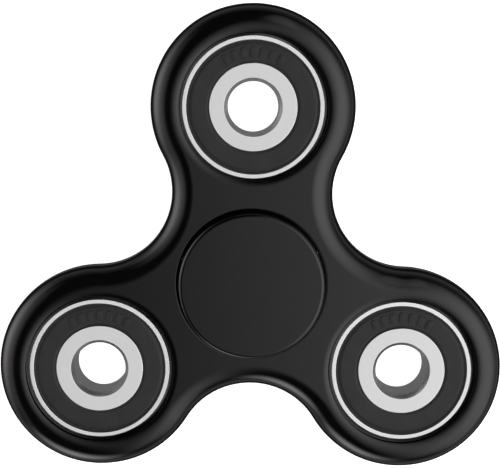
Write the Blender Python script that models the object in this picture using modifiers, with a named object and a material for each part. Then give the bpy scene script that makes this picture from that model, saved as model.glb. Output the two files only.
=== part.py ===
"""Three-lobed fidget spinner: a moulded body on a ball bearing that two finger caps hold still,
with three more ball bearings in its lobes as weights.

The spin axis is +Z, the spinner lies flat, and the origin is at the middle of the centre bearing.
"""

import math

import bmesh
import bpy

MM = 0.001

# Bearings: 22 mm outside, 8 mm bore, 7 mm wide, with seven balls and a rubber seal on each side.
BEARING_RADIUS = 11.0 * MM
BORE_RADIUS = 4.0 * MM
BEARING_WIDTH = 7.0 * MM
BALL_RADIUS = 1.984 * MM
BALLS_PER_BEARING = 7
PITCH_RADIUS = 7.6 * MM
GROOVE_RADIUS = 2.2 * MM
OUTER_LAND_RADIUS = 9.0 * MM
INNER_LAND_RADIUS = 6.58 * MM
OUTER_RING_CHAMFER = 0.4 * MM
BORE_CHAMFER = 0.5 * MM

# Rubber seals, set a little below the ring faces in a step of the outer ring.
SEAL_SEAT_RADIUS = 10.05 * MM
SEAL_SEAT_DEPTH = 0.9 * MM
SEAL_OUTER_RADIUS = 9.93 * MM
SEAL_INNER_RADIUS = 6.72 * MM
SEAL_RECESS = 0.2 * MM
SEAL_THICKNESS = 0.55 * MM

# Crown cage: a band between the rings, whose pockets are open on its lower side.
CAGE_INNER_RADIUS = 6.85 * MM
CAGE_OUTER_RADIUS = 8.35 * MM
CAGE_TOP = 2.4 * MM
CAGE_BOTTOM = -0.9 * MM
POCKET_RADIUS = 2.2 * MM

# Body: three round lobes joined by hollow arcs, with a soft edge all round.
LOBE_DISTANCE = 26.5 * MM
LOBE_RADIUS = 15.45 * MM
NECK_RADIUS = 11.4 * MM
BODY_THICKNESS = 8.4 * MM
BODY_EDGE_RADIUS = 3.4 * MM
BODY_HOLE_RADIUS = 11.2 * MM
LOBE_HOLE_DISH = 0.8 * MM
CENTRE_HOLE_DISH = 0.35 * MM
DISH_SLOPE = 17.0
LOBE_ANGLES = [math.radians(90.0), math.radians(210.0), math.radians(330.0)]

# Finger caps: a pad over the centre bearing, a shoulder on its inner ring, a stem in its bore, and
# a skirt that closes the gap round the pad below the body's face.
CAP_RADIUS = 10.7 * MM
CAP_TOP = 6.8 * MM
CAP_PAD_THICKNESS = 2.2 * MM
CAP_EDGE_RADIUS = 0.4 * MM
CAP_SKIRT_RADIUS = 10.95 * MM
CAP_SKIRT_INNER_RADIUS = 10.2 * MM
CAP_SKIRT_SLOPE_TOP = 4.1 * MM
CAP_SKIRT_SLOPE_END = 3.95 * MM
CAP_SKIRT_END = 3.72 * MM
CAP_SHOULDER_RADIUS = 6.0 * MM
CAP_STEM_RADIUS = 3.88 * MM
CAP_STEM_END = 0.4 * MM
CAP_STEM_CHAMFER = 0.3 * MM
CAP_CLEARANCE = 0.1 * MM

# Facets of the solids, and the distances and angles that the modelling tools need.
TURN_STEPS = 36
POCKET_STEPS = 12
FILLET_STEPS = 3
EDGE_RESOLUTION = 4
LOBE_ARC_STEPS = 24
NECK_ARC_STEPS = 8
GROOVE_STEPS = 2
CUTTER_OVERRUN = 1.0 * MM
MERGE_DISTANCE = 0.001 * MM
SHARP_ANGLE = math.radians(30.0)

PARTS_COLLECTION = "fidget_spinner"
CUTTERS_COLLECTION = "cutters"


# ---------------------------------------------------------------- scene, collections, materials

def clear_scene():
    for obj in list(bpy.data.objects):
        bpy.data.objects.remove(obj, do_unlink=True)


def new_collection(name):
    collection = bpy.data.collections.new(name)
    bpy.context.scene.collection.children.link(collection)
    return collection


def principled(name, colour, roughness, metallic=0.0):
    material = bpy.data.materials.new(name)
    material.use_nodes = True
    shader = material.node_tree.nodes["Principled BSDF"]
    shader.inputs["Base Color"].default_value = (*colour, 1.0)
    shader.inputs["Roughness"].default_value = roughness
    shader.inputs["Metallic"].default_value = metallic
    return material


# ---------------------------------------------------------------- modelling helpers

def add_empty(name, location, parent=None):
    empty = bpy.data.objects.new(name, None)
    empty.empty_display_size = 5.0 * MM
    empty.location = location
    empty.parent = parent
    parts.objects.link(empty)
    return empty


def add_part(name, mesh, material, parent, location=(0.0, 0.0, 0.0), flipped=False):
    """Place one piece. A flipped piece is turned over about the X axis."""
    obj = bpy.data.objects.new(name, mesh)
    obj.location = location
    if flipped:
        obj.rotation_euler = (math.pi, 0.0, 0.0)
    obj.parent = parent
    parts.objects.link(obj)
    if not mesh.materials:
        mesh.materials.append(material)
    obj.material_slots[0].link = "OBJECT"
    obj.material_slots[0].material = material
    return obj


def add_cutter(name, mesh, location=(0.0, 0.0, 0.0)):
    obj = bpy.data.objects.new(name, mesh)
    obj.location = location
    obj.display_type = "WIRE"
    obj.hide_render = True
    cutters.objects.link(obj)
    return obj


def cut(obj, cutter):
    boolean = obj.modifiers.new("cut_" + cutter.name, "BOOLEAN")
    boolean.operation = "DIFFERENCE"
    boolean.solver = "EXACT"
    boolean.object = cutter


def finished_mesh(obj, name):
    """Turn an object and its modifiers into one smooth-shaded mesh, and remove the object."""
    bpy.context.view_layer.update()
    evaluated = obj.evaluated_get(bpy.context.evaluated_depsgraph_get())
    mesh = bpy.data.meshes.new_from_object(evaluated)
    mesh.name = name
    weld = bmesh.new()
    weld.from_mesh(mesh)
    bmesh.ops.remove_doubles(weld, verts=weld.verts, dist=MERGE_DISTANCE)
    weld.to_mesh(mesh)
    weld.free()
    mesh.shade_smooth()
    mesh.set_sharp_from_angle(angle=SHARP_ANGLE)
    bpy.data.objects.remove(obj, do_unlink=True)
    return mesh


def turned_object(name, profile, closed):
    """A profile in the XZ plane, turned round the Z axis by a Screw modifier."""
    count = len(profile)
    edges = [(i, i + 1) for i in range(count - 1)]
    if closed:
        edges.append((count - 1, 0))
    mesh = bpy.data.meshes.new(name)
    mesh.from_pydata([(r, 0.0, z) for r, z in profile], edges, [])
    obj = bpy.data.objects.new(name, mesh)
    bpy.context.scene.collection.objects.link(obj)
    screw = obj.modifiers.new("turn", "SCREW")
    screw.axis = "Z"
    screw.angle = 2.0 * math.pi
    screw.steps = TURN_STEPS
    screw.render_steps = TURN_STEPS
    screw.use_merge_vertices = True
    screw.merge_threshold = MERGE_DISTANCE
    return obj


def turned_mesh(name, profile, closed=True):
    return finished_mesh(turned_object(name, profile, closed), name)


def arc(centre_r, centre_z, radius, start, end, steps):
    """Points along an arc in the XZ plane, both ends included, angles in degrees from +X."""
    points = []
    for i in range(steps + 1):
        angle = math.radians(start + (end - start) * i / steps)
        points.append((centre_r + radius * math.cos(angle), centre_z + radius * math.sin(angle)))
    return points


# ---------------------------------------------------------------- bearing pieces

def outer_ring_mesh():
    half = BEARING_WIDTH / 2.0
    seat = half - SEAL_SEAT_DEPTH
    groove_edge = math.degrees(math.acos((OUTER_LAND_RADIUS - PITCH_RADIUS) / GROOVE_RADIUS))
    outside = [
        (SEAL_SEAT_RADIUS, half),
        (BEARING_RADIUS - OUTER_RING_CHAMFER, half),
        (BEARING_RADIUS, half - OUTER_RING_CHAMFER),
        (BEARING_RADIUS, -half + OUTER_RING_CHAMFER),
        (BEARING_RADIUS - OUTER_RING_CHAMFER, -half),
        (SEAL_SEAT_RADIUS, -half),
        (SEAL_SEAT_RADIUS, -seat),
        (OUTER_LAND_RADIUS, -seat),
    ]
    groove = arc(PITCH_RADIUS, 0.0, GROOVE_RADIUS, -groove_edge, groove_edge, 2 * GROOVE_STEPS)
    top_step = [(OUTER_LAND_RADIUS, seat), (SEAL_SEAT_RADIUS, seat)]
    return turned_mesh("outer_ring", outside + groove + top_step)


def inner_ring_mesh():
    half = BEARING_WIDTH / 2.0
    groove_edge = math.degrees(math.acos((PITCH_RADIUS - INNER_LAND_RADIUS) / GROOVE_RADIUS))
    top = [(INNER_LAND_RADIUS, half)]
    groove = arc(PITCH_RADIUS, 0.0, GROOVE_RADIUS, 180.0 - groove_edge, 180.0 + groove_edge,
                 2 * GROOVE_STEPS)
    bottom_and_bore = [
        (INNER_LAND_RADIUS, -half),
        (BORE_RADIUS + BORE_CHAMFER, -half),
        (BORE_RADIUS, -half + BORE_CHAMFER),
        (BORE_RADIUS, half - BORE_CHAMFER),
        (BORE_RADIUS + BORE_CHAMFER, half),
    ]
    return turned_mesh("inner_ring", top + groove + bottom_and_bore)


def seal_mesh():
    top = BEARING_WIDTH / 2.0 - SEAL_RECESS
    bottom = top - SEAL_THICKNESS
    profile = [
        (SEAL_OUTER_RADIUS, top),
        (SEAL_OUTER_RADIUS, bottom),
        (SEAL_INNER_RADIUS, bottom),
        (SEAL_INNER_RADIUS, top),
    ]
    return turned_mesh("seal", profile)


def ball_mesh():
    mesh = bpy.data.meshes.new("ball")
    ball = bmesh.new()
    bmesh.ops.create_icosphere(ball, subdivisions=2, radius=BALL_RADIUS)
    ball.to_mesh(mesh)
    ball.free()
    mesh.shade_smooth()
    return mesh


def ball_angle(index):
    return 2.0 * math.pi * index / BALLS_PER_BEARING


def cage_mesh():
    """A band with a round pocket cut through it, from inside to outside, at each ball."""
    band = turned_object("cage", [
        (CAGE_OUTER_RADIUS, CAGE_TOP),
        (CAGE_OUTER_RADIUS, CAGE_BOTTOM),
        (CAGE_INNER_RADIUS, CAGE_BOTTOM),
        (CAGE_INNER_RADIUS, CAGE_TOP),
    ], closed=True)
    for index in range(BALLS_PER_BEARING):
        angle = ball_angle(index)
        cylinder = bmesh.new()
        bmesh.ops.create_cone(cylinder, cap_ends=True, segments=POCKET_STEPS,
                              radius1=POCKET_RADIUS, radius2=POCKET_RADIUS,
                              depth=2.0 * (CAGE_OUTER_RADIUS - CAGE_INNER_RADIUS))
        mesh = bpy.data.meshes.new("pocket")
        cylinder.to_mesh(mesh)
        cylinder.free()
        location = (PITCH_RADIUS * math.cos(angle), PITCH_RADIUS * math.sin(angle), 0.0)
        pocket = add_cutter(f"pocket_{index + 1}", mesh, location)
        pocket.rotation_euler = (0.0, math.pi / 2.0, angle)
        cut(band, pocket)
    return finished_mesh(band, "cage")


def add_bearing(name, centre):
    """All the pieces of one bearing, parented to an empty on its axis."""
    axis = add_empty(name + "_axis", centre)
    add_part(name + "_outer_ring", meshes["outer_ring"], materials["bearing_steel"], axis)
    add_part(name + "_inner_ring", meshes["inner_ring"], materials["bearing_steel"], axis)
    add_part(name + "_cage", meshes["cage"], materials["cage_plastic"], axis)
    add_part(name + "_seal_top", meshes["seal"], materials["seal_rubber"], axis)
    add_part(name + "_seal_bottom", meshes["seal"], materials["seal_rubber"], axis, flipped=True)
    for index in range(BALLS_PER_BEARING):
        angle = ball_angle(index)
        location = (PITCH_RADIUS * math.cos(angle), PITCH_RADIUS * math.sin(angle), 0.0)
        add_part(f"{name}_ball_{index + 1}", meshes["ball"], materials["ball_steel"], axis, location)


# ---------------------------------------------------------------- finger caps

def cap_mesh():
    """The top cap, turned from the middle of its face, round the pad and skirt, to the stem."""
    face = BEARING_WIDTH / 2.0 + CAP_CLEARANCE
    underside = CAP_TOP - CAP_PAD_THICKNESS
    rounding = arc(CAP_RADIUS - CAP_EDGE_RADIUS, CAP_TOP - CAP_EDGE_RADIUS, CAP_EDGE_RADIUS,
                   90.0, 0.0, FILLET_STEPS)
    profile = [(0.0, CAP_TOP)] + rounding + [
        (CAP_RADIUS, CAP_SKIRT_SLOPE_TOP),
        (CAP_SKIRT_RADIUS, CAP_SKIRT_SLOPE_END),
        (CAP_SKIRT_RADIUS, CAP_SKIRT_END),
        (CAP_SKIRT_INNER_RADIUS, CAP_SKIRT_END),
        (CAP_SKIRT_INNER_RADIUS, underside),
        (CAP_SHOULDER_RADIUS, underside),
        (CAP_SHOULDER_RADIUS, face),
        (CAP_STEM_RADIUS, face),
        (CAP_STEM_RADIUS, CAP_STEM_END + CAP_STEM_CHAMFER),
        (CAP_STEM_RADIUS - CAP_STEM_CHAMFER, CAP_STEM_END),
        (0.0, CAP_STEM_END),
    ]
    return turned_mesh("finger_cap", profile, closed=False)


# ---------------------------------------------------------------- body

def polar(radius, angle):
    return (radius * math.cos(angle), radius * math.sin(angle))


def body_outline(inset):
    """Lobe arcs joined by the neck arcs that touch them, all moved inwards by the inset."""
    lobe_radius = LOBE_RADIUS - inset
    neck_radius = NECK_RADIUS + inset
    half_gap = math.pi / len(LOBE_ANGLES)
    reach = LOBE_RADIUS + NECK_RADIUS
    neck_distance = LOBE_DISTANCE * math.cos(half_gap) + math.sqrt(
        reach ** 2 - (LOBE_DISTANCE * math.sin(half_gap)) ** 2)
    # Angle, at a lobe's centre, between the way out of the lobe and the way to a neck's centre.
    touch = math.atan2(neck_distance * math.sin(half_gap),
                       neck_distance * math.cos(half_gap) - LOBE_DISTANCE)
    # Angle, at a neck's centre, from the way to the spin axis to the way to a lobe's centre.
    spread = touch - half_gap
    points = []
    for lobe in LOBE_ANGLES:
        centre = polar(LOBE_DISTANCE, lobe)
        for i in range(LOBE_ARC_STEPS + 1):
            angle = lobe + touch * (2.0 * i / LOBE_ARC_STEPS - 1.0)
            x, y = polar(lobe_radius, angle)
            points.append((centre[0] + x, centre[1] + y))
        neck = lobe + half_gap
        centre = polar(neck_distance, neck)
        for i in range(1, NECK_ARC_STEPS):
            angle = neck + math.pi + spread * (1.0 - 2.0 * i / NECK_ARC_STEPS)
            x, y = polar(neck_radius, angle)
            points.append((centre[0] + x, centre[1] + y))
    return points


def body_blank_mesh():
    """The outline as a 2D curve, whose bevel is the soft edge."""
    outline = body_outline(inset=BODY_EDGE_RADIUS)
    curve = bpy.data.curves.new("spinner_body", "CURVE")
    curve.dimensions = "2D"
    curve.fill_mode = "BOTH"
    curve.extrude = BODY_THICKNESS / 2.0 - BODY_EDGE_RADIUS
    curve.bevel_depth = BODY_EDGE_RADIUS
    curve.bevel_resolution = EDGE_RESOLUTION
    spline = curve.splines.new("POLY")
    spline.points.add(len(outline) - 1)
    for point, (x, y) in zip(spline.points, outline):
        point.co = (x, y, 0.0, 1.0)
    spline.use_cyclic_u = True
    obj = bpy.data.objects.new("spinner_body", curve)
    bpy.context.scene.collection.objects.link(obj)
    return finished_mesh(obj, "spinner_body")


def hole_cutter_mesh(name, dish):
    """A spool: the hole's wall, and a shallow dish of the given width round it at each face."""
    half = BODY_THICKNESS / 2.0
    flare = BODY_HOLE_RADIUS + dish
    top = half + CUTTER_OVERRUN
    radius = dish / math.sin(math.radians(DISH_SLOPE))
    upper = arc(flare, half - radius, radius, 90.0, 90.0 + DISH_SLOPE, FILLET_STEPS)
    lower = [(r, -z) for r, z in reversed(upper)]
    profile = [(0.0, top), (flare, top)] + upper + lower + [(flare, -top), (0.0, -top)]
    return turned_mesh(name, profile, closed=False)


def add_body():
    body = add_part("spinner_body", body_blank_mesh(), materials["body_plastic"], spinner_axis)
    cut(body, add_cutter("centre_hole", hole_cutter_mesh("centre_hole", CENTRE_HOLE_DISH)))
    lobe_hole = hole_cutter_mesh("lobe_hole", LOBE_HOLE_DISH)
    for number, centre in enumerate(lobe_centres, start=1):
        cut(body, add_cutter(f"lobe{number}_hole", lobe_hole, centre))


# ---------------------------------------------------------------- assembly

clear_scene()
parts = new_collection(PARTS_COLLECTION)
cutters = new_collection(CUTTERS_COLLECTION)

materials = {
    "body_plastic": principled("body_plastic", (0.012, 0.012, 0.013), 0.3),
    "cap_plastic": principled("cap_plastic", (0.012, 0.012, 0.013), 0.3),
    "bearing_steel": principled("bearing_steel", (0.62, 0.62, 0.63), 0.3, metallic=1.0),
    "ball_steel": principled("ball_steel", (0.75, 0.75, 0.76), 0.08, metallic=1.0),
    "seal_rubber": principled("seal_rubber", (0.025, 0.025, 0.026), 0.6),
    "cage_plastic": principled("cage_plastic", (0.55, 0.52, 0.44), 0.5),
}
meshes = {
    "outer_ring": outer_ring_mesh(),
    "inner_ring": inner_ring_mesh(),
    "seal": seal_mesh(),
    "cage": cage_mesh(),
    "ball": ball_mesh(),
    "finger_cap": cap_mesh(),
}

lobe_centres = [(*polar(LOBE_DISTANCE, angle), 0.0) for angle in LOBE_ANGLES]
spinner_axis = add_empty("spinner_axis", (0.0, 0.0, 0.0))
add_body()
add_part("finger_cap_top", meshes["finger_cap"], materials["cap_plastic"], spinner_axis)
add_part("finger_cap_bottom", meshes["finger_cap"], materials["cap_plastic"], spinner_axis,
         flipped=True)
add_bearing("centre", (0.0, 0.0, 0.0))
for number, lobe_centre in enumerate(lobe_centres, start=1):
    add_bearing(f"lobe{number}", lobe_centre)
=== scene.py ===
"""Looks of the three-lobed fidget spinner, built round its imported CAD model."""

import math

import bmesh
import bpy
from mathutils import Matrix, Vector


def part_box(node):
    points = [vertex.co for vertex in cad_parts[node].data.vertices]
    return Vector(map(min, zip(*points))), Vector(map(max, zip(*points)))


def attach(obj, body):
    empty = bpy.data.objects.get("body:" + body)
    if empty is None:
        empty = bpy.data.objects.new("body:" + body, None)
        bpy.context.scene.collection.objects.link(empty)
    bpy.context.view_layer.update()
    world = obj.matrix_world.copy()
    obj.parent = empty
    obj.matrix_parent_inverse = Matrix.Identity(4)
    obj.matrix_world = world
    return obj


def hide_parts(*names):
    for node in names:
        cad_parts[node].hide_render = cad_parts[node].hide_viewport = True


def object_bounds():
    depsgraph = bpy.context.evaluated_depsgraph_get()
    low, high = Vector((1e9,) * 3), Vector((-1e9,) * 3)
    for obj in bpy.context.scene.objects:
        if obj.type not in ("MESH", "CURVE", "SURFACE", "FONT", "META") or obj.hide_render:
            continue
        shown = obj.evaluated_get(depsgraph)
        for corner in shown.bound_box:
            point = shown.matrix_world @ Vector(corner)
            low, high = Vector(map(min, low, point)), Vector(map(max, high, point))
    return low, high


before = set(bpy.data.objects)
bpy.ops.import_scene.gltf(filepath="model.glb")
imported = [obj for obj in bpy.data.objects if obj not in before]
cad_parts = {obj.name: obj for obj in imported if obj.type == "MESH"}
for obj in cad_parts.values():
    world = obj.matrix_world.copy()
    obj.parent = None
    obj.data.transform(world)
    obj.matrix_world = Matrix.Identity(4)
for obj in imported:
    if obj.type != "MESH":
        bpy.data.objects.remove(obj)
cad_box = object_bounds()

MM = 0.001
LOBES = ["lobe1", "lobe2", "lobe3"]
BEARINGS = ["centre"] + LOBES
BALLS_PER_BEARING = 7


# ---------------------------------------------------------------- places and sizes from the frame

def centre_of(node):
    low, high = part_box(node)
    return (low + high) / 2.0


def radius_of(node):
    """Half of the node's width across X."""
    low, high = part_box(node)
    return (high.x - low.x) / 2.0


def top_of(node):
    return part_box(node)[1].z


bearing_centres = {name: centre_of(name + "_outer_ring") for name in BEARINGS}
LOBE_DISTANCE = bearing_centres["lobe1"].y
LOBE_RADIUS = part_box("spinner_body")[1].y - LOBE_DISTANCE
BODY_TOP = top_of("spinner_body")
RING_TOP = top_of("centre_outer_ring")
BEARING_RADIUS = radius_of("centre_outer_ring")
INNER_RING_RADIUS = radius_of("centre_inner_ring")
CAP_TOP = top_of("finger_cap_top")
CAP_RADIUS = radius_of("finger_cap_top")
BALL_RADIUS = (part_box("centre_ball_1")[1].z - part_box("centre_ball_1")[0].z) / 2.0
PITCH_RADIUS = centre_of("centre_ball_1").x
CAGE_TOP = top_of("centre_cage")
CAGE_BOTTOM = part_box("centre_cage")[0].z
CAGE_OUTER_RADIUS = radius_of("centre_cage")

# Shapes finer than the frame's boxes tell. A dish is its width and its steepest slope in degrees,
# and a chamfer is its size across the face and its depth.
NECK_RADIUS = 11.4 * MM
BODY_EDGE_RADIUS = 3.4 * MM
PARTING_LINE_HEIGHT = 0.025 * MM
PARTING_LINE_HALF_WIDTH = 0.05 * MM
HOLE_RADIUS = 11.2 * MM
SEAT_RADIUS = 11.02 * MM  # close to the bearing, so that no light passes between them
SEAT_END = 3.0 * MM
LOBE_HOLE_DISH = (0.8 * MM, 17.0)
CENTRE_HOLE_DISH = (0.35 * MM, 17.0)
DISH_CORNER = 0.03 * MM
BORE_RADIUS = 3.86 * MM
BORE_CHAMFER = (0.52 * MM, 0.78 * MM)
RING_CHAMFER = (0.42 * MM, 0.3 * MM)
SEAL_SEAT_RADIUS = 10.0 * MM
SEAL_SEAT_DEPTH = 0.9 * MM
OUTER_LAND_RADIUS = 9.0 * MM
GROOVE_RADIUS = 2.1 * MM
SEAL_TOP = RING_TOP - 0.12 * MM
SEAL_BOTTOM = RING_TOP - 0.75 * MM
SEAL_OUTER_RADIUS = 9.96 * MM
SEAL_INNER_RADIUS = INNER_RING_RADIUS + 0.03 * MM
PAD_DISTANCE = 8.15 * MM
PAD_SIZE = (1.55 * MM, 0.95 * MM, 0.3 * MM)
PAD_SINK = 0.01 * MM
CAP_EDGE_RADIUS = 0.58 * MM
CAP_PAD_THICKNESS = 2.2 * MM
CAP_SKIRT_TOP = 4.1 * MM
CAP_SKIRT_END = 3.72 * MM
CAP_SKIRT_RADIUS = 10.95 * MM
CAP_SKIRT_INNER_RADIUS = 10.2 * MM
CAP_SHOULDER_RADIUS = 6.0 * MM
CAP_STEM_RADIUS = 3.8 * MM
CAP_STEM_END = 0.4 * MM
CAP_CONTACT_GAP = 0.02 * MM
CAGE_INNER_RADIUS = 6.85 * MM
POCKET_RADIUS = 2.15 * MM

TURN_STEPS = 144
ROUND_STEPS = 5
SHARP_ANGLE = math.radians(40.0)
SUPPORT = 0.015 * MM
MERGE_DISTANCE = 0.0005 * MM


# ---------------------------------------------------------------- modelling helpers

def arc(centre_r, centre_z, radius, start, end, steps):
    """Profile points along an arc, both ends included, angles in degrees from outwards."""
    points = []
    for i in range(steps + 1):
        angle = math.radians(start + (end - start) * i / steps)
        points.append((centre_r + radius * math.cos(angle), centre_z + radius * math.sin(angle)))
    return points


def rounded(corners, closed=True):
    """Replace each (r, z, radius) corner of a profile by a small arc that touches both sides.

    A point a little beyond each end of the arc keeps the straight sides shaded as straight.
    """
    count = len(corners)
    points = []
    for i, (r, z, radius) in enumerate(corners):
        corner = Vector((r, z))
        if radius == 0.0 or (not closed and i in (0, count - 1)):
            points.append((r, z))
            continue
        before = Vector(corners[i - 1][:2]) - corner
        after = Vector(corners[(i + 1) % count][:2]) - corner
        half = before.angle(after) / 2.0
        bisector = (before.normalized() + after.normalized()).normalized()
        middle = corner + bisector * (radius / math.sin(half))
        first = corner + before.normalized() * (radius / math.tan(half)) - middle
        last = corner + after.normalized() * (radius / math.tan(half)) - middle
        turn = math.atan2(first.cross(last), first.dot(last))
        points.append(tuple(middle + first + before.normalized() * SUPPORT))
        for step in range(ROUND_STEPS + 1):
            spoke = Matrix.Rotation(turn * step / ROUND_STEPS, 2) @ first
            points.append(tuple(middle + spoke))
        points.append(tuple(middle + last + after.normalized() * SUPPORT))
    return points


def mesh_from(bm, name):
    bmesh.ops.remove_doubles(bm, verts=bm.verts, dist=MERGE_DISTANCE)
    bmesh.ops.recalc_face_normals(bm, faces=bm.faces)
    mesh = bpy.data.meshes.new(name)
    bm.to_mesh(mesh)
    bm.free()
    mesh.shade_smooth()
    mesh.set_sharp_from_angle(angle=SHARP_ANGLE)
    return mesh


def turned(name, profile, closed=True, steps=TURN_STEPS):
    """A profile of (r, z) points spun round the Z axis."""
    bm = bmesh.new()
    verts = [bm.verts.new((r, 0.0, z)) for r, z in profile]
    edges = [bm.edges.new(pair) for pair in zip(verts, verts[1:])]
    if closed:
        edges.append(bm.edges.new((verts[-1], verts[0])))
    bmesh.ops.spin(bm, geom=verts + edges, cent=(0.0, 0.0, 0.0), axis=(0.0, 0.0, 1.0),
                   angle=2.0 * math.pi, steps=steps, use_merge=True)
    return mesh_from(bm, name)


def add_piece(name, mesh, material, body, replaced, location=(0.0, 0.0, 0.0), flipped=False):
    """Place one piece of the spinner, let it ride on its body and stand for its CAD node."""
    obj = bpy.data.objects.new(name, mesh)
    bpy.context.scene.collection.objects.link(obj)
    obj.location = location
    if flipped:
        obj.rotation_euler = (math.pi, 0.0, 0.0)
    if not mesh.materials:
        mesh.materials.append(material)
    normals = obj.modifiers.new("flat_faces_stay_flat", "WEIGHTED_NORMAL")
    normals.keep_sharp = True
    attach(obj, body)
    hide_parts(replaced)
    return obj


def joined(base, others, operation):
    """The base mesh after an exact Boolean with each of the other (mesh, location) pairs."""
    scratch = bpy.data.objects.new("scratch", base)
    bpy.context.scene.collection.objects.link(scratch)
    tools = []
    for mesh, matrix in others:
        tool = bpy.data.objects.new("tool", mesh)
        bpy.context.scene.collection.objects.link(tool)
        tool.matrix_world = matrix
        boolean = scratch.modifiers.new("boolean", "BOOLEAN")
        boolean.operation = operation
        boolean.solver = "EXACT"
        boolean.object = tool
        tools.append(tool)
    bpy.context.view_layer.update()
    depsgraph = bpy.context.evaluated_depsgraph_get()
    evaluated = scratch.evaluated_get(depsgraph)
    bm = bmesh.new()
    bm.from_mesh(evaluated.data)
    for obj in tools + [scratch]:
        bpy.data.objects.remove(obj, do_unlink=True)
    return mesh_from(bm, base.name)


# ---------------------------------------------------------------- materials

class Nodes:
    """A material's node tree with short ways to add and link what the materials here share."""

    def __init__(self, name):
        self.material = bpy.data.materials.new(name)
        self.material.use_nodes = True
        self.tree = self.material.node_tree
        self.shader = self.tree.nodes["Principled BSDF"]

    def add(self, kind, **settings):
        node = self.tree.nodes.new("ShaderNode" + kind)
        for key, value in settings.items():
            setattr(node, key, value)
        return node

    def link(self, output, socket):
        self.tree.links.new(output, socket)

    def noise(self, scale, detail=3.0, vector=None):
        node = self.add("TexNoise")
        node.inputs["Scale"].default_value = scale
        node.inputs["Detail"].default_value = detail
        self.link(vector or self.object_space(), node.inputs["Vector"])
        return node.outputs["Fac"]

    def object_space(self):
        return self.add("TexCoord").outputs["Object"]

    def math(self, operation, first, second=0.0):
        node = self.add("Math", operation=operation)
        for socket, value in zip(node.inputs, (first, second)):
            if isinstance(value, float):
                socket.default_value = value
            else:
                self.link(value, socket)
        return node.outputs["Value"]

    def ranged(self, value, low, high, start=0.0, end=1.0):
        node = self.add("MapRange")
        node.inputs["From Min"].default_value = start
        node.inputs["From Max"].default_value = end
        node.inputs["To Min"].default_value = low
        node.inputs["To Max"].default_value = high
        self.link(value, node.inputs["Value"])
        return node.outputs["Result"]

    def colour(self, value, dark, light, start=0.3, end=0.7):
        node = self.add("ValToRGB")
        node.color_ramp.elements[0].position = start
        node.color_ramp.elements[0].color = (*dark, 1.0)
        node.color_ramp.elements[1].position = end
        node.color_ramp.elements[1].color = (*light, 1.0)
        self.link(value, node.inputs["Fac"])
        self.link(node.outputs["Color"], self.shader.inputs["Base Color"])

    def roughness(self, value, low, high):
        self.link(self.ranged(value, low, high, 0.25, 0.75), self.shader.inputs["Roughness"])

    def bump(self, height, depth):
        """Relief whose height runs from 0 to 1 over the given depth in metres."""
        node = self.add("Bump")
        node.inputs["Strength"].default_value = 1.0
        node.inputs["Distance"].default_value = depth
        self.link(height, node.inputs["Height"])
        self.link(node.outputs["Normal"], self.shader.inputs["Normal"])

    def turned_marks(self, pitch):
        """Noise drawn out into circles round the piece's Z axis, as turning or grinding leaves."""
        parts = self.add("SeparateXYZ")
        self.link(self.object_space(), parts.inputs["Vector"])
        across = self.math("POWER", parts.outputs["X"], 2.0)
        along = self.math("POWER", parts.outputs["Y"], 2.0)
        radius = self.math("SQRT", self.math("ADD", across, along))
        angle = self.math("ARCTAN2", parts.outputs["Y"], parts.outputs["X"])
        circles = self.add("CombineXYZ")
        self.link(self.math("MULTIPLY", radius, 1.0 / pitch), circles.inputs["X"])
        self.link(self.math("MULTIPLY", angle, 1.5), circles.inputs["Y"])
        self.link(self.math("MULTIPLY", parts.outputs["Z"], 1.0 / pitch), circles.inputs["Z"])
        return self.noise(1.0, detail=4.0, vector=circles.outputs["Vector"])


def moulded_plastic(name, roughness):
    """Black satin ABS: fine moulded grain over a faint slow ripple."""
    nodes = Nodes(name)
    grain = nodes.noise(1.0 / (0.12 * MM))
    patches = nodes.noise(1.0 / (9.0 * MM))
    nodes.colour(patches, (0.0012, 0.0012, 0.0013), (0.0022, 0.0022, 0.0024))
    mixed = nodes.math("ADD", nodes.math("MULTIPLY", grain, 0.5), nodes.math("MULTIPLY", patches, 0.5))
    nodes.roughness(mixed, roughness - 0.03, roughness + 0.03)
    nodes.bump(grain, 0.0008 * MM)
    nodes.shader.inputs["Specular IOR Level"].default_value = 0.48
    return nodes.material


def bearing_steel(name, brightness, shine):
    """Bearing steel: pale matt ground faces with circular marks, and smooth chamfers and bore painted darker
    as shade.
    """
    nodes = Nodes(name)
    marks = nodes.turned_marks(0.09 * MM)
    facing = nodes.add("SeparateXYZ")
    nodes.link(nodes.add("TexCoord").outputs["Normal"], facing.inputs["Vector"])
    upright = nodes.math("ABSOLUTE", facing.outputs["Z"])
    scatter = nodes.ranged(marks, -0.05, 0.05, 0.25, 0.75)
    # Faces turned away from up and down, the chamfers and bore, get a darker colour: painted shade.
    painted_shade_tone = nodes.math("ADD", nodes.ranged(upright, 0.88 * brightness, brightness, 0.93, 0.99),
                      nodes.math("MULTIPLY", scatter, 0.4))
    nodes.link(painted_shade_tone, nodes.shader.inputs["Base Color"])
    finish = nodes.ranged(upright, 0.17, 0.6, 0.93, 0.99)
    nodes.link(nodes.math("ADD", finish, scatter), nodes.shader.inputs["Roughness"])
    nodes.link(nodes.ranged(upright, 1.0, shine, 0.93, 0.99), nodes.shader.inputs["Metallic"])
    nodes.bump(marks, 0.001 * MM)
    return nodes.material


def seal_rubber(name):
    """Moulded nitrile rubber with a dull, slightly uneven skin."""
    nodes = Nodes(name)
    skin = nodes.noise(1.0 / (0.1 * MM), detail=5.0)
    patches = nodes.noise(1.0 / (3.0 * MM))
    nodes.colour(patches, (0.025, 0.025, 0.0255), (0.033, 0.033, 0.0335))
    nodes.roughness(skin, 0.5, 0.62)
    nodes.bump(skin, 0.002 * MM)
    nodes.shader.inputs["Specular IOR Level"].default_value = 0.3
    return nodes.material


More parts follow.
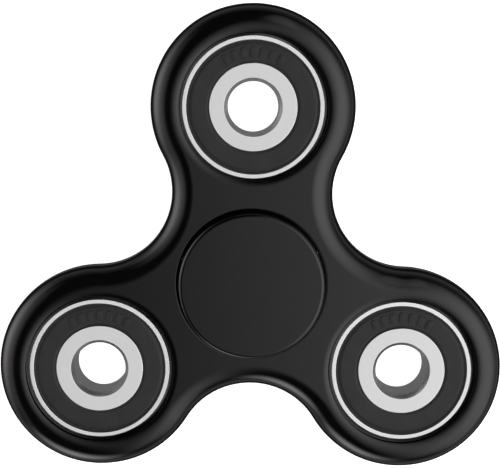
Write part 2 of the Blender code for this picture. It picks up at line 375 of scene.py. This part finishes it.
def polished_steel(name):
    nodes = Nodes(name)
    smears = nodes.noise(1.0 / (0.8 * MM))
    nodes.colour(smears, (0.72, 0.72, 0.73), (0.78, 0.78, 0.79))
    nodes.roughness(smears, 0.05, 0.1)
    nodes.shader.inputs["Metallic"].default_value = 1.0
    return nodes.material


def natural_nylon(name):
    nodes = Nodes(name)
    skin = nodes.noise(1.0 / (0.15 * MM))
    patches = nodes.noise(1.0 / (2.5 * MM))
    nodes.colour(patches, (0.62, 0.58, 0.47), (0.7, 0.66, 0.55))
    nodes.roughness(skin, 0.42, 0.55)
    nodes.bump(skin, 0.002 * MM)
    return nodes.material


materials = {
    "body": moulded_plastic("body_plastic_black", 0.12),
    "cap": moulded_plastic("cap_plastic_black", 0.13),
    "outer_ring": bearing_steel("outer_ring_steel", brightness=1.0, shine=0.6),
    "inner_ring": bearing_steel("inner_ring_steel", brightness=0.88, shine=0.4),
    "seal": seal_rubber("seal_rubber_black"),
    "ball": polished_steel("ball_steel_polished"),
    "cage": natural_nylon("cage_nylon"),
}


# ---------------------------------------------------------------- body

def body_arcs():
    """The outline's arcs, as (centre, radius, side, first angle, last angle, steps).

    Side is +1 where the body is inside the arc, on a lobe, and -1 where it is outside, at a neck.
    """
    half_gap = math.pi / len(LOBES)
    reach = LOBE_RADIUS + NECK_RADIUS
    neck_distance = LOBE_DISTANCE * math.cos(half_gap) + math.sqrt(
        reach ** 2 - (LOBE_DISTANCE * math.sin(half_gap)) ** 2)
    touch = math.atan2(neck_distance * math.sin(half_gap),
                       neck_distance * math.cos(half_gap) - LOBE_DISTANCE)
    arcs = []
    for i in range(len(LOBES)):
        lobe = math.pi / 2.0 + 2.0 * half_gap * i
        centre = LOBE_DISTANCE * Vector((math.cos(lobe), math.sin(lobe)))
        arcs.append((centre, LOBE_RADIUS, 1.0, lobe - touch, lobe + touch, 72))
        neck = lobe + half_gap
        centre = neck_distance * Vector((math.cos(neck), math.sin(neck)))
        spread = touch - half_gap
        arcs.append((centre, NECK_RADIUS, -1.0, neck + math.pi + spread, neck + math.pi - spread, 32))
    return arcs


def outline_points(inset):
    points = []
    for centre, radius, side, first, last, steps in body_arcs():
        for i in range(steps):
            angle = first + (last - first) * i / steps
            points.append(centre + (radius - side * inset) * Vector((math.cos(angle), math.sin(angle))))
    return points


def body_edge_profile():
    """(inset, z) from the flat top, round the soft edge and over the parting line, to the bottom."""
    shoulder = BODY_TOP - BODY_EDGE_RADIUS
    upper = []
    for i in range(15):
        angle = math.radians(90.0 * i / 14)
        upper.append((BODY_EDGE_RADIUS * (1.0 - math.sin(angle)),
                      shoulder + BODY_EDGE_RADIUS * math.cos(angle)))
    upper.append((0.0, PARTING_LINE_HALF_WIDTH))
    upper.append((-PARTING_LINE_HEIGHT, PARTING_LINE_HALF_WIDTH / 2.0))
    return upper + [(inset, -z) for inset, z in reversed(upper)]


def body_mesh():
    """The rim is a strip of faces between offsets of the outline; the bearing holes are cut last."""
    bm = bmesh.new()
    loops = []
    for inset, z in body_edge_profile():
        loops.append([bm.verts.new((point.x, point.y, z)) for point in outline_points(inset)])
    for upper, lower in zip(loops, loops[1:]):
        for i in range(len(upper)):
            bm.faces.new((upper[i - 1], lower[i - 1], lower[i], upper[i]))
    bm.faces.new(loops[0])
    bm.faces.new(reversed(loops[-1]))
    blank = mesh_from(bm, "body_moulding")
    holes = [(hole_tool("centre_hole", *CENTRE_HOLE_DISH), Matrix.Identity(4))]
    lobe_hole = hole_tool("lobe_hole", *LOBE_HOLE_DISH)
    for lobe in LOBES:
        holes.append((lobe_hole, Matrix.Translation(bearing_centres[lobe])))
    return joined(blank, holes, "DIFFERENCE")


def hole_tool(name, width, slope):
    """A spool: the bearing's seat, a wider recess near each face, and a shallow dish round that.

    The dish steepens from the flat face to the given slope.
    """
    edge = HOLE_RADIUS + DISH_CORNER
    radius = width / math.sin(math.radians(slope))
    beyond = BODY_TOP + 1.0 * MM
    dish = arc(edge + width, BODY_TOP - radius, radius, 90.0, 90.0 + slope, 8)
    upper = dish + arc(edge, dish[-1][1] - DISH_CORNER, DISH_CORNER, 90.0 + slope, 180.0, 4)[1:]
    upper += [(HOLE_RADIUS, SEAT_END), (SEAT_RADIUS, SEAT_END - 0.05 * MM)]
    lower = [(r, -z) for r, z in reversed(upper)]
    flare = edge + width
    profile = [(0.0, beyond), (flare, beyond)] + upper + lower + [(flare, -beyond), (0.0, -beyond)]
    return turned(name, profile, closed=False)


add_piece("body_moulding", body_mesh(), materials["body"], "rotor", "spinner_body")


# ---------------------------------------------------------------- finger caps

def cap_mesh():
    underside = CAP_TOP - CAP_PAD_THICKNESS
    contact = RING_TOP + CAP_CONTACT_GAP
    profile = [(0.0, CAP_TOP)]
    profile += arc(CAP_RADIUS - CAP_EDGE_RADIUS, CAP_TOP - CAP_EDGE_RADIUS, CAP_EDGE_RADIUS, 90.0, 0.0, 12)
    profile += rounded([
        (CAP_RADIUS, CAP_TOP - CAP_EDGE_RADIUS, 0.0),
        (CAP_RADIUS, CAP_SKIRT_TOP, 0.03 * MM),
        (CAP_SKIRT_RADIUS, CAP_SKIRT_TOP - 0.12 * MM, 0.12 * MM),
        (CAP_SKIRT_RADIUS, CAP_SKIRT_END, 0.04 * MM),
        (CAP_SKIRT_INNER_RADIUS, CAP_SKIRT_END, 0.04 * MM),
        (CAP_SKIRT_INNER_RADIUS, underside, 0.2 * MM),
        (CAP_SHOULDER_RADIUS + 0.3 * MM, underside, 0.2 * MM),
        (CAP_SHOULDER_RADIUS, contact, 0.06 * MM),
        (CAP_STEM_RADIUS, contact, 0.1 * MM),
        (CAP_STEM_RADIUS, CAP_STEM_END, 0.3 * MM),
        (0.0, CAP_STEM_END, 0.0),
    ], closed=False)[1:]
    return turned("finger_cap", profile, closed=False)


finger_cap = cap_mesh()
for side, flipped in (("top", False), ("bottom", True)):
    add_piece(f"cap_{side}_moulding", finger_cap, materials["cap"], "hub", f"finger_cap_{side}",
              flipped=flipped)


# ---------------------------------------------------------------- bearings

def groove(side, land_radius):
    """The ball groove's arc, from the lower land to the upper one on the outer ring (side +1),
    and from the upper land to the lower one on the inner ring (side -1)."""
    edge = math.degrees(math.acos(abs(land_radius - PITCH_RADIUS) / GROOVE_RADIUS))
    middle = 0.0 if side > 0 else 180.0
    return arc(PITCH_RADIUS, 0.0, GROOVE_RADIUS, middle - edge, middle + edge, 12)


def outer_ring_mesh():
    fine = 0.05 * MM
    across, down = RING_CHAMFER
    seat = RING_TOP - SEAL_SEAT_DEPTH
    outside = rounded([
        (OUTER_LAND_RADIUS, seat, 0.0),
        (SEAL_SEAT_RADIUS, seat, 0.0),
        (SEAL_SEAT_RADIUS, RING_TOP, fine),
        (BEARING_RADIUS - across, RING_TOP, 2.0 * fine),
        (BEARING_RADIUS, RING_TOP - down, 2.0 * fine),
        (BEARING_RADIUS, down - RING_TOP, 2.0 * fine),
        (BEARING_RADIUS - across, -RING_TOP, 2.0 * fine),
        (SEAL_SEAT_RADIUS, -RING_TOP, fine),
        (SEAL_SEAT_RADIUS, -seat, 0.0),
        (OUTER_LAND_RADIUS, -seat, 0.0),
    ], closed=False)
    return turned("outer_ring", outside + groove(1, OUTER_LAND_RADIUS))


def inner_ring_mesh():
    fine = 0.06 * MM
    across, down = BORE_CHAMFER
    rim = rounded([
        (INNER_RING_RADIUS, GROOVE_RADIUS, 0.0),
        (INNER_RING_RADIUS, RING_TOP, 1.5 * fine),
        (BORE_RADIUS + across, RING_TOP, fine),
        (BORE_RADIUS, RING_TOP - down, 2.0 * fine),
        (BORE_RADIUS, down - RING_TOP, 2.0 * fine),
        (BORE_RADIUS + across, -RING_TOP, fine),
        (INNER_RING_RADIUS, -RING_TOP, 1.5 * fine),
        (INNER_RING_RADIUS, -GROOVE_RADIUS, 0.0),
    ], closed=False)
    return turned("inner_ring", rim + list(reversed(groove(-1, INNER_RING_RADIUS))))


def seal_mesh():
    """A flat face that falls to a lip at each edge, with a row of plain raised pads."""
    lip = 0.12 * MM
    profile = rounded([
        (SEAL_INNER_RADIUS, SEAL_BOTTOM, 0.0),
        (SEAL_INNER_RADIUS, SEAL_TOP - 1.5 * lip, 0.04 * MM),
        (SEAL_INNER_RADIUS + 0.45 * MM, SEAL_TOP, 0.3 * MM),
        (SEAL_OUTER_RADIUS - 0.72 * MM, SEAL_TOP, 0.3 * MM),
        (SEAL_OUTER_RADIUS - 0.3 * MM, SEAL_TOP - 1.6 * lip, 0.05 * MM),
        (SEAL_OUTER_RADIUS - 0.18 * MM, SEAL_TOP - lip / 2.0, 0.04 * MM),
        (SEAL_OUTER_RADIUS, SEAL_TOP - lip / 2.0, 0.05 * MM),
        (SEAL_OUTER_RADIUS, SEAL_BOTTOM, 0.0),
    ])
    pads = []
    for degrees in (60.0, 70.0, 80.0, 90.0, 100.0, 110.0, 120.0):
        turn = Matrix.Rotation(math.radians(degrees), 4, "Z")
        pads.append((seal_pad, turn @ Matrix.Translation((PAD_DISTANCE, 0.0, SEAL_TOP - PAD_SINK))))
    return joined(turned("seal", profile), pads, "UNION")


def seal_pad_mesh():
    """A small block with rounded edges, standing a little above the seal's face."""
    bm = bmesh.new()
    bmesh.ops.create_cube(bm, size=1.0)
    bmesh.ops.scale(bm, verts=bm.verts, vec=PAD_SIZE)
    upright = [edge for edge in bm.edges if abs(edge.verts[0].co.z - edge.verts[1].co.z) > 0.1 * MM]
    bmesh.ops.bevel(bm, geom=upright, offset=0.3 * MM, segments=5, profile=0.5, affect="EDGES")
    rim = [edge for edge in bm.edges if all(vert.co.z > 0.0 for vert in edge.verts)]
    bmesh.ops.bevel(bm, geom=rim, offset=0.1 * MM, segments=4, profile=0.5, affect="EDGES")
    return mesh_from(bm, "seal_pad")


def ball_mesh():
    bm = bmesh.new()
    bmesh.ops.create_icosphere(bm, subdivisions=4, radius=BALL_RADIUS)
    return mesh_from(bm, "ball")


def cage_mesh():
    """A crown: a band with a round pocket for each ball, open on its lower side."""
    edge = 0.12 * MM
    band = turned("cage", rounded([
        (CAGE_OUTER_RADIUS, CAGE_TOP, edge),
        (CAGE_OUTER_RADIUS, CAGE_BOTTOM, edge),
        (CAGE_INNER_RADIUS, CAGE_BOTTOM, edge),
        (CAGE_INNER_RADIUS, CAGE_TOP, edge),
    ]))
    bm = bmesh.new()
    bmesh.ops.create_uvsphere(bm, u_segments=48, v_segments=24, radius=POCKET_RADIUS)
    pocket = mesh_from(bm, "pocket")
    pockets = []
    for i in range(BALLS_PER_BEARING):
        turn = Matrix.Rotation(2.0 * math.pi * i / BALLS_PER_BEARING, 4, "Z")
        pockets.append((pocket, turn @ Matrix.Translation((PITCH_RADIUS, 0.0, 0.0))))
    return joined(band, pockets, "DIFFERENCE")


outer_ring = outer_ring_mesh()
inner_ring = inner_ring_mesh()
seal_pad = seal_pad_mesh()
seal = seal_mesh()
ball = ball_mesh()
cage = cage_mesh()

for name in BEARINGS:
    place = bearing_centres[name]
    inner_body = "hub" if name == "centre" else name + "_inner"
    add_piece(name + "_outer_race", outer_ring, materials["outer_ring"], "rotor",
              name + "_outer_ring", place)
    add_piece(name + "_inner_race", inner_ring, materials["inner_ring"], inner_body,
              name + "_inner_ring", place)
    add_piece(name + "_crown", cage, materials["cage"], name + "_cage",
              name + "_cage", place)
    for side, flipped in (("top", False), ("bottom", True)):
        add_piece(f"{name}_seal_{side}_rubber", seal, materials["seal"], "rotor",
                  f"{name}_seal_{side}", place, flipped)
    for i in range(1, BALLS_PER_BEARING + 1):
        node = f"{name}_ball_{i}"
        add_piece(node + "_polished", ball, materials["ball"], node, node, centre_of(node))


# ---------------------------------------------------------------- floor, light and camera

def add_floor():
    bpy.ops.mesh.primitive_plane_add(size=6.0, location=(0.0, 0.0, cad_box[0].z))
    floor = bpy.context.object
    floor.name = "floor"
    material = bpy.data.materials.new("floor_white")
    material.use_nodes = True
    shader = material.node_tree.nodes["Principled BSDF"]
    shader.inputs["Base Color"].default_value = (0.85, 0.85, 0.85, 1.0)
    shader.inputs["Roughness"].default_value = 0.9
    shader.inputs["Emission Color"].default_value = (1.0, 1.0, 1.0, 1.0)
    shader.inputs["Emission Strength"].default_value = 1.0
    floor.data.materials.append(material)
    # Seen by the camera only: it isn't mirrored in the spinner, and it casts no light or shadow.
    floor.visible_glossy = False
    floor.visible_diffuse = False
    floor.visible_shadow = False


def add_softbox(name, azimuth, tilt, half_width, half_height, radiance, core=0.0, distance=1.5):
    """A panel facing the spinner, bright in its core and fading to nothing at its edges.

    Azimuth is measured from +X and tilt from straight up; all angles are in degrees.
    """
    around = math.radians(azimuth)
    lean = math.radians(tilt)
    out = Vector((math.sin(lean) * math.cos(around), math.sin(lean) * math.sin(around), math.cos(lean)))
    across = Vector((-math.sin(around), math.cos(around), 0.0))
    up = out.cross(across)
    light = bpy.data.lights.new(name, "AREA")
    light.shape = "RECTANGLE"
    light.size = 2.0 * distance * math.tan(math.radians(half_width))
    light.size_y = 2.0 * distance * math.tan(math.radians(half_height))
    light.energy = radiance * math.pi * light.size * light.size_y
    obj = bpy.data.objects.new(name, light)
    bpy.context.scene.collection.objects.link(obj)
    obj.matrix_world = Matrix.Translation(out * distance) @ Matrix((across, up, out)).transposed().to_4x4()
    obj.visible_camera = False
    fade_panel(light, half_width, half_height, core)


def fade_panel(light, half_width, half_height, core):
    """Strength falls smoothly from the core's edge to the panel's edge, by the angle seen."""
    light.use_nodes = True
    tree = light.node_tree
    emission = tree.nodes["Emission"]
    place = tree.nodes.new("ShaderNodeNewGeometry")
    parts = tree.nodes.new("ShaderNodeSeparateXYZ")
    tree.links.new(place.outputs["Parametric"], parts.inputs[0])

    def step(operation, first, second):
        node = tree.nodes.new("ShaderNodeMath")
        node.operation = operation
        for socket, value in zip(node.inputs, (first, second)):
            if isinstance(value, float):
                socket.default_value = value
            else:
                tree.links.new(value, socket)
        return node.outputs[0]

    squares = []
    for output, half in ((parts.outputs[0], half_width), (parts.outputs[1], half_height)):
        edge = math.radians(half)
        slope = step("MULTIPLY", step("SUBTRACT", output, 0.5), 2.0 * math.tan(edge))
        share = step("MULTIPLY", step("ARCTANGENT", slope, 0.0), 1.0 / edge)
        squares.append(step("MULTIPLY", share, share))
    reach = step("SQRT", step("ADD", *squares), 0.0)
    fade = tree.nodes.new("ShaderNodeMapRange")
    fade.interpolation_type = "SMOOTHSTEP"
    fade.inputs["From Min"].default_value = core
    fade.inputs["From Max"].default_value = 1.0
    fade.inputs["To Min"].default_value = 1.0
    fade.inputs["To Max"].default_value = 0.0
    tree.links.new(reach, fade.inputs["Value"])
    tree.links.new(fade.outputs["Result"], emission.inputs["Strength"])


def add_world():
    """Dim grey above the horizon and lighter below it; the camera sees plain white."""
    world = bpy.data.worlds.new("studio")
    bpy.context.scene.world = world
    world.use_nodes = True
    tree = world.node_tree
    surroundings = tree.nodes["Background"]
    direction = tree.nodes.new("ShaderNodeTexCoord")
    parts = tree.nodes.new("ShaderNodeSeparateXYZ")
    tree.links.new(direction.outputs["Generated"], parts.inputs[0])
    height = tree.nodes.new("ShaderNodeMapRange")
    height.inputs["From Min"].default_value = -1.0
    height.inputs["From Max"].default_value = 1.0
    grey = tree.nodes.new("ShaderNodeValToRGB")
    grey.color_ramp.elements[0].color = (0.17, 0.17, 0.17, 1.0)
    grey.color_ramp.elements[1].color = (0.025, 0.025, 0.025, 1.0)
    for position, level in ((0.02, 0.15), (0.05, 0.03), (0.2, 0.03),
                            (0.3, 0.4), (0.4, 0.26), (0.5, 0.14), (0.6, 0.025)):
        grey.color_ramp.elements.new(position).color = (level, level, level, 1.0)
    tree.links.new(parts.outputs["Z"], height.inputs["Value"])
    tree.links.new(height.outputs["Result"], grey.inputs["Fac"])
    tree.links.new(grey.outputs["Color"], surroundings.inputs["Color"])
    backdrop = tree.nodes.new("ShaderNodeBackground")
    backdrop.inputs["Color"].default_value = (1.0, 1.0, 1.0, 1.0)
    seen = tree.nodes.new("ShaderNodeLightPath")
    mix = tree.nodes.new("ShaderNodeMixShader")
    tree.links.new(seen.outputs["Is Camera Ray"], mix.inputs[0])
    tree.links.new(surroundings.outputs[0], mix.inputs[1])
    tree.links.new(backdrop.outputs[0], mix.inputs[2])
    tree.links.new(mix.outputs[0], tree.nodes["World Output"].inputs["Surface"])


def add_camera():
    """Almost straight down, from a little above the top lobe's side, about 20 cm away."""
    camera = bpy.data.cameras.new("camera")
    camera.lens = 98.56
    camera.sensor_width = 36.0
    camera.clip_start = 0.01
    obj = bpy.data.objects.new("camera", camera)
    bpy.context.scene.collection.objects.link(obj)
    obj.location = Vector((-1.76, 32.5, 207.65)) * MM
    obj.rotation_euler = [math.radians(angle) for angle in (-6.975, -0.338, 0.577)]
    bpy.context.scene.camera = obj


bpy.context.scene.view_settings.view_transform = "Standard"
add_floor()
add_world()
add_softbox("key", azimuth=-9.0, tilt=45.0, half_width=78.0, half_height=64.0, radiance=2.02, core=0.14)
add_softbox("key_fill", azimuth=71.0, tilt=51.0, half_width=11.0, half_height=31.0, radiance=0.58, core=0.34)
add_softbox("key_low", azimuth=-43.0, tilt=80.0, half_width=27.0, half_height=18.5, radiance=0.56, core=0.43)
add_softbox("side_low", azimuth=173.0, tilt=91.0, half_width=55.5, half_height=31.5, radiance=2.28)
add_softbox("side_high", azimuth=180.0, tilt=63.0, half_width=61.0, half_height=31.0, radiance=1.0)
add_softbox("front", azimuth=-109.0, tilt=82.0, half_width=31.0, half_height=26.0, radiance=3.24)
add_camera()
